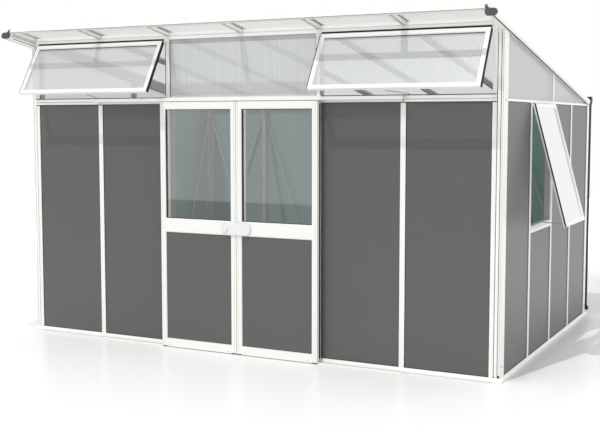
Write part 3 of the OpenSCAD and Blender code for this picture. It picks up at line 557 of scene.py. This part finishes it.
def addRailAndPostLines(shape, look):
    for side in (-1, 1):
        left, right = span(side, look["doorwayHalf"], walls["innerX"] - look["sink"])
        for face, (low, high) in ((look["sillFace"], look["sillLine"]), (0.0, look["railLine"])):
            addBar(shape, (left, face - look["proud"], low), (right, face + look["sink"], high))
        low, high = look["postHeight"]
        for near, far, face in look["postLines"]:
            left, right = span(side, near, far)
            addBar(shape, (left, face - look["proud"], low), (right, face + look["sink"], high))


def makeGasketShadeLines():
    shape = bmesh.new()
    addRafterLines(shape, gasketShadeLook)
    addBeamLines(shape, gasketShadeLook)
    addVentLines(shape, gasketShadeLook)
    addRailAndPostLines(shape, gasketShadeLook)
    finishPiece(shape, "gasketShadeLines", capGrey)


# Pale grey lines where the head beam, the rail below the vents and the base rails are grooved:
# painted shade in those grooves
grooveShadeLook = {"proud": 0.0008, "sink": 0.002, "headLine": (2.7465, 2.751), "doorwayHalf": 0.765,
              "railLine": (2.176, 2.182), "footFrom": 0.770, "footOut": 0.014,
              "footLine": (0.0035, 0.008)}


def makeGrooveShadeLines():
    look = grooveShadeLook
    proud, sink, out = look["proud"], look["sink"], look["footOut"]
    end = walls["innerX"] - sink
    shape = bmesh.new()
    low, high = look["headLine"]
    addBar(shape, (-end, -proud, low), (end, sink, high))
    low, high = look["railLine"]
    for side in (-1, 1):
        left, right = span(side, look["doorwayHalf"], end)
        addBar(shape, (left, -proud, low), (right, sink, high))
    low, high = look["footLine"]
    for side in (-1, 1):
        left, right = span(side, look["footFrom"], walls["innerX"])
        addBar(shape, (left, -out - proud, low), (right, -out + sink, high))
    face = walls["halfWidth"] + out
    for side in (-1, 1):
        left, right = span(side, face + proud, face - sink)
        addBar(shape, (left, 0.0, low), (right, walls["depth"], high))
    finishPiece(shape, "frameGrooveShade", bareMetal)


# A flat brace on each side of the back left corner, from the corner's top to the next post's foot
cornerBraceLook = {"width": 0.016, "top": 2.100, "foot": 0.110, "lean": 0.660, "away": 0.070,
                   "chamfer": 0.001}


def makeCornerBraces():
    look = cornerBraceLook
    low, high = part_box("wall_braces")
    thick = high[1] - low[1]
    inset = walls["depth"] - high[1]
    rise = look["top"] - look["foot"]
    length = math.hypot(rise, look["lean"])
    angle = math.atan2(look["lean"], rise)
    half = look["width"] / 2
    shape = bmesh.new()
    corner = -walls["halfWidth"]
    place = (Matrix.Translation((corner + look["away"], low[1], look["top"]))
             @ Matrix.Rotation(-angle, 4, "Y"))
    addBar(shape, (-half, 0, -length), (half, thick, 0), look["chamfer"], place)
    place = (Matrix.Translation((corner + inset, walls["depth"] - look["away"], look["top"]))
             @ Matrix.Rotation(-angle, 4, "X"))
    addBar(shape, (0, -half, -length), (thick, half, 0), look["chamfer"], place)
    finishPiece(shape, "cornerBraces", bareMetal)


# Dark strips deep in the corner posts' flutes: painted shade in the flutes; and black blocks at
# the right post's foot: painted shade of the open flute ends there
fluteShadeLook = {"low": 0.055, "frontHigh": 2.665, "backHigh": 2.145, "inset": 0.0035,
             "depth": 0.010, "across": ((2.2325, 2.2375), (2.2615, 2.2665), (2.2772, 2.2788)),
             "sideFrom": 2.2774, "side": (0.0205, 0.0255)}
fluteEndShadeLook = {"low": 0.042, "proud": 0.0025, "sink": 0.0002, "chamfer": 0.0008,
            "shadedEnds": ((2.2660, 2.2830, 0.060), (2.2330, 2.2420, 0.052))}


def makeFluteShade():
    look = fluteShadeLook
    shape = bmesh.new()

    def strip(side, end, across, deep):
        # across and deep: from and to along X, and behind the front face or before the back face
        left, right = span(side, *across)
        front, back = sorted(abs(end * walls["depth"] - place) for place in deep)
        high = look["backHigh"] if end else look["frontHigh"]
        addBar(shape, (left, front, look["low"]), (right, back, high))

    for side in (-1, 1):
        for end in (0, 1):
            if side < 0 and end == 0:
                continue  # this post's flutes stay white
            for across in look["across"]:
                strip(side, end, across, (look["inset"], look["depth"]))
            strip(side, end, (look["sideFrom"], walls["halfWidth"] - look["inset"]), look["side"])
    finishPiece(shape, "cornerFluteShade", capGrey)


def makeFluteEndShade():
    look = fluteEndShadeLook
    shape = bmesh.new()
    # each black block is painted shade in an open flute end
    for left, right, high in look["shadedEnds"]:
        addBar(shape, (left, -look["proud"], look["low"]), (right, look["sink"], high),
               look["chamfer"])
    finishPiece(shape, "cornerFluteEndShade", blackRubber)


# Door leaves: gaskets round the panes with painted shade at their left edges, inner beads, edge
# brushes and foot brushes that also paint the shade of the gaps by the doors, and screws
doorLook = {"inner": 0.053, "outer": 0.718, "edge": 0.768, "meet": 0.003, "paneLow": 1.155,
            "paneHigh": 2.107, "paneFront": -0.0641, "paneBack": -0.0599, "faceFront": -0.079,
            "faceBack": -0.045}
paneGasketShadeLook = {"border": 0.005, "depth": 0.002, "shadeStripWidth": 0.013,
                  "shadeStripOut": (0.004, 0.0005), "short": 0.001, "chamfer": 0.001}
beadLook = {"across": (0.014, 0.030), "offPane": 0.0004, "inset": 0.001, "chamfer": 0.002}
brushGapShadeLook = {"edge": (0.010, 0.001), "edgeHeight": (0.040, 2.150), "edgeBack": -0.0145,
             "edgeChamfer": 0.001, "footInset": 0.004, "footDeep": (0.003, 0.009),
             "footHeight": (0.0042, 0.0088), "footChamfer": 0.0006}
doorScrewLook = {"along": (0.085, 0.690), "height": 0.026, "radius": 0.0055, "head": 0.003}
screwSink = 0.0003  # how far a screw's head stands in its face


def makePaneGasket(body, side):
    door, look = doorLook, paneGasketShadeLook
    middle = side * (door["outer"] + door["inner"]) / 2
    up = (door["paneHigh"] + door["paneLow"]) / 2
    left = span(side, door["inner"], door["outer"])[0]
    shape = bmesh.new()
    addRing(shape, wallPlace("front", middle, -door["paneFront"], up),
            door["outer"] - door["inner"], door["paneHigh"] - door["paneLow"],
            look["border"], look["depth"])
    # a wide black strip at the pane's left edge: painted shade of the stile's rebate beside the
    # glass
    far, near = look["shadeStripOut"]
    addBar(shape, (left, door["paneFront"] - far, door["paneLow"] + look["short"]),
           (left + look["shadeStripWidth"], door["paneFront"] - near,
            door["paneHigh"] - look["short"]), look["chamfer"])
    finishPiece(shape, body + "PaneGasketAndShade", blackRubber, body)


def makeInnerBead(body, side):
    door, look = doorLook, beadLook
    left = span(side, door["inner"], door["outer"])[0]
    near, far = look["across"]
    shape = bmesh.new()
    addBar(shape, (left + near, door["paneBack"] + look["offPane"],
                   door["paneLow"] + look["inset"]),
           (left + far, door["faceBack"] - look["inset"], door["paneHigh"] - look["inset"]),
           look["chamfer"])
    finishPiece(shape, body + "InnerBead", whiteCoat, body)


def makeBrushes(body, side):
    door, look = doorLook, brushGapShadeLook
    shape = bmesh.new()
    # black brushes behind the door's outer edge and along its foot, which also paint the shade of
    # the gaps beside and under the door
    left, right = span(side, *(door["edge"] - inset for inset in look["edge"]))
    low, high = look["edgeHeight"]
    addBar(shape, (left, door["faceBack"] - look["edge"][1], low),
           (right, look["edgeBack"], high), look["edgeChamfer"])
    left, right = span(side, door["meet"] + look["footInset"], door["edge"] - look["footInset"])
    (front, back), (low, high) = look["footDeep"], look["footHeight"]
    addBar(shape, (left, door["faceFront"] + front, low),
           (right, door["faceFront"] + back, high), look["footChamfer"])
    finishPiece(shape, body + "BrushesAndGapShade", blackRubber, body)


def makeDoorScrews(body, side):
    look = doorScrewLook
    shape = bmesh.new()
    for along in look["along"]:
        place = wallPlace("front", side * along, -doorLook["faceFront"] - screwSink,
                          look["height"])
        addScrew(shape, place, look["radius"], look["head"])
    finishPiece(shape, body + "Screws", bareMetal, body)


def makeDoorTrims(body, side):
    makePaneGasket(body, side)
    makeInnerBead(body, side)
    makeBrushes(body, side)
    makeDoorScrews(body, side)


# Screws of the frame: on the mid rails, the corner posts and the side beams
frameScrewLook = {"railHeight": 2.169, "railRadius": 0.006, "postFrom": 0.050,
                  "postHeights": (0.120, 2.166), "postRadius": 0.0055, "head": 0.003}
beamScrewLook = {"along": (-0.305, -0.070), "height": -0.024, "radius": 0.006, "head": 0.004}


def makeFrameScrews():
    look = frameScrewLook
    shape = bmesh.new()
    for bay in (-2, 2):
        addScrew(shape, wallPlace("front", bay * walls["bay"], -screwSink, look["railHeight"]),
                 look["railRadius"], look["head"])
    for side in ("left", "right"):
        for along in (look["postFrom"], walls["depth"] - look["postFrom"]):
            for up in look["postHeights"]:
                addScrew(shape, wallPlace(side, along, walls["halfWidth"] - screwSink, up),
                         look["postRadius"], look["head"])
    finishPiece(shape, "frameScrews", capGrey)


def makeBeamScrews():
    look = beamScrewLook
    shape = bmesh.new()
    for side in (-1, 1):
        for along in look["along"]:
            spot = Matrix.Translation((side * (walls["innerX"] + screwSink), along,
                                       look["height"]))
            turn = Matrix.Rotation(math.radians(-90 * side), 4, "Y")
            addScrew(shape, onRoof @ spot @ turn, look["radius"], look["head"])
    finishPiece(shape, "beamScrews", bareMetal)


makeEdgeGasketShadeRings()
makeBeamSlotShade()
makeGasketShadeLines()
makeGrooveShadeLines()
makeCornerBraces()
makeFluteShade()
makeFluteEndShade()
makeDoorTrims("left_door", -1)
makeDoorTrims("right_door", 1)
makeFrameScrews()
makeBeamScrews()
print("gaskets, braces, brushes and screws made")


# Floor, light and camera

floorLook = {"edge": 17.0, "middle": 2.6, "drop": 0.001, "roughness": 0.25, "index": 1.12,
             "colour": srgb(248, 248, 248), "dimColour": srgb(150, 150, 150),
             "dim": (-6.8, -6.5),  # from dim to full, along Y
             "wallShade": 0.3, "wallShadeWidth": 0.22, "wallShadeFrom": (-0.05, 0.25),
             "frontGlow": 0.03, "frontFade": (-0.4, 0.6), "leftGlow": 0.3, "leftFade": (0.5, 0.02),
             "farMiddle": 1.6, "farFade": (4.2, 9.0)}


def rangeNode(tree, value, fromMin, fromMax, toMin=0.0, toMax=1.0):
    node = tree.nodes.new("ShaderNodeMapRange")
    node.interpolation_type = "SMOOTHSTEP"
    tree.links.new(value, node.inputs["Value"])
    for label, number in (("From Min", fromMin), ("From Max", fromMax),
                          ("To Min", toMin), ("To Max", toMax)):
        node.inputs[label].default_value = number
    return node.outputs[0]


def floorColour(tree, split):
    # the far front of the floor lies in dimmer light: the door panes mirror its edge
    look = floorLook
    dim = rangeNode(tree, split.outputs["Y"], *look["dim"])
    base = mixColour(tree, dim, look["dimColour"], look["colour"])
    # a soft shade along the right wall
    beside = rangeNode(tree, split.outputs["X"], walls["halfWidth"],
                       walls["halfWidth"] + look["wallShadeWidth"], look["wallShade"], 0.0)
    behind = rangeNode(tree, split.outputs["Y"], *look["wallShadeFrom"])
    beside = mathNode(tree, "MULTIPLY", beside, behind)
    return mixColour(tree, beside, base, look["dimColour"])


def floorGlow(tree, split):
    # the floor fades to the white background, as it is seen by the camera
    look = floorLook
    path = tree.nodes.new("ShaderNodeLightPath")
    seen = mathNode(tree, "MAXIMUM", path.outputs["Is Camera Ray"],
                    path.outputs["Is Transmission Ray"])
    # painted light: the floor in front of the shed glows a little more
    near = rangeNode(tree, split.outputs["Y"], *look["frontFade"], look["frontGlow"], 0.0)
    fromMiddle = mathNode(tree, "SUBTRACT", split.outputs["Y"], look["farMiddle"])
    away = mathNode(tree, "SQRT", mathNode(tree, "ADD",
                    mathNode(tree, "POWER", split.outputs["X"], 2.0),
                    mathNode(tree, "POWER", fromMiddle, 2.0)))
    far = rangeNode(tree, away, *look["farFade"])
    # the second light's soft shadow is kept off the white floor on the left
    full, none = (-walls["halfWidth"] - out for out in look["leftFade"])
    left = rangeNode(tree, split.outputs["X"], full, none, look["leftGlow"], 0.0)
    glow = mathNode(tree, "ADD", mathNode(tree, "ADD", near, far), left)
    return mathNode(tree, "MULTIPLY", seen, glow)


def makeFloor():
    look = floorLook
    shape = bmesh.new()
    bmesh.ops.create_grid(shape, x_segments=1, y_segments=1, size=look["edge"])
    bmesh.ops.translate(shape, verts=shape.verts, vec=(0, look["middle"], -look["drop"]))
    mesh = bpy.data.meshes.new("floor")
    shape.to_mesh(mesh)
    shape.free()
    floor = bpy.data.objects.new("floor", mesh)
    scene.collection.objects.link(floor)
    material, tree, shader = startMaterial("paleFloor", Roughness=look["roughness"],
                                           IOR=look["index"])
    spot = tree.nodes.new("ShaderNodeTexCoord")
    split = tree.nodes.new("ShaderNodeSeparateXYZ")
    tree.links.new(spot.outputs["Object"], split.inputs[0])
    tree.links.new(floorColour(tree, split), shader.inputs["Base Color"])
    shader.inputs["Emission Color"].default_value = (1, 1, 1, 1)
    tree.links.new(floorGlow(tree, split), shader.inputs["Emission Strength"])
    mesh.materials.append(material)


worldLook = {"colour": srgb(255, 255, 255), "level": 0.87}


def makeWorld():
    world = bpy.data.worlds.new("paleStudio")
    scene.world = world
    world.use_nodes = True
    tree = world.node_tree
    shade = tree.nodes["Background"]
    shade.inputs["Color"].default_value = worldLook["colour"]
    path = tree.nodes.new("ShaderNodeLightPath")
    seen = mathNode(tree, "MAXIMUM", path.outputs["Is Camera Ray"], path.outputs["Is Glossy Ray"])
    seen = mathNode(tree, "MAXIMUM", seen, path.outputs["Is Transmission Ray"])
    level = mathNode(tree, "MULTIPLY_ADD", seen, 1 - worldLook["level"], worldLook["level"])
    tree.links.new(level, shade.inputs["Strength"])


lampLook = {"sun": {"direction": (0.268, 1.0, -1.651), "power": 1.15, "angle": 0.7},
            # a soft second light from the right
            "fill": {"direction": (-1.0, -0.12, -0.12), "power": 0.45, "angle": 40.0}}


def makeSun(name):
    look = lampLook[name]
    lamp = bpy.data.lights.new(name, "SUN")
    lamp.energy = look["power"]
    lamp.angle = math.radians(look["angle"])
    holder = bpy.data.objects.new(name, lamp)
    scene.collection.objects.link(holder)
    holder.rotation_euler = Vector(look["direction"]).to_track_quat("-Z", "Y").to_euler()


cameraLook = {"place": (4.4325, -7.5621, 2.0090), "yaw": 27.054, "pitch": -4.759,
              "focalPixels": 1025.22, "widthPixels": 600, "shiftY": -0.01657, "sensor": 36}


def makeCamera():
    data = bpy.data.cameras.new("camera")
    data.sensor_width = cameraLook["sensor"]
    data.lens = cameraLook["focalPixels"] * data.sensor_width / cameraLook["widthPixels"]
    data.shift_y = cameraLook["shiftY"]
    camera = bpy.data.objects.new("camera", data)
    scene.collection.objects.link(camera)
    camera.location = cameraLook["place"]
    camera.rotation_euler = (math.radians(90 + cameraLook["pitch"]), 0,
                             math.radians(cameraLook["yaw"]))
    scene.camera = camera


makeFloor()
makeWorld()
makeSun("sun")
makeSun("fill")
makeCamera()
scene.view_settings.view_transform = "Standard"
print("floor, light and camera made")
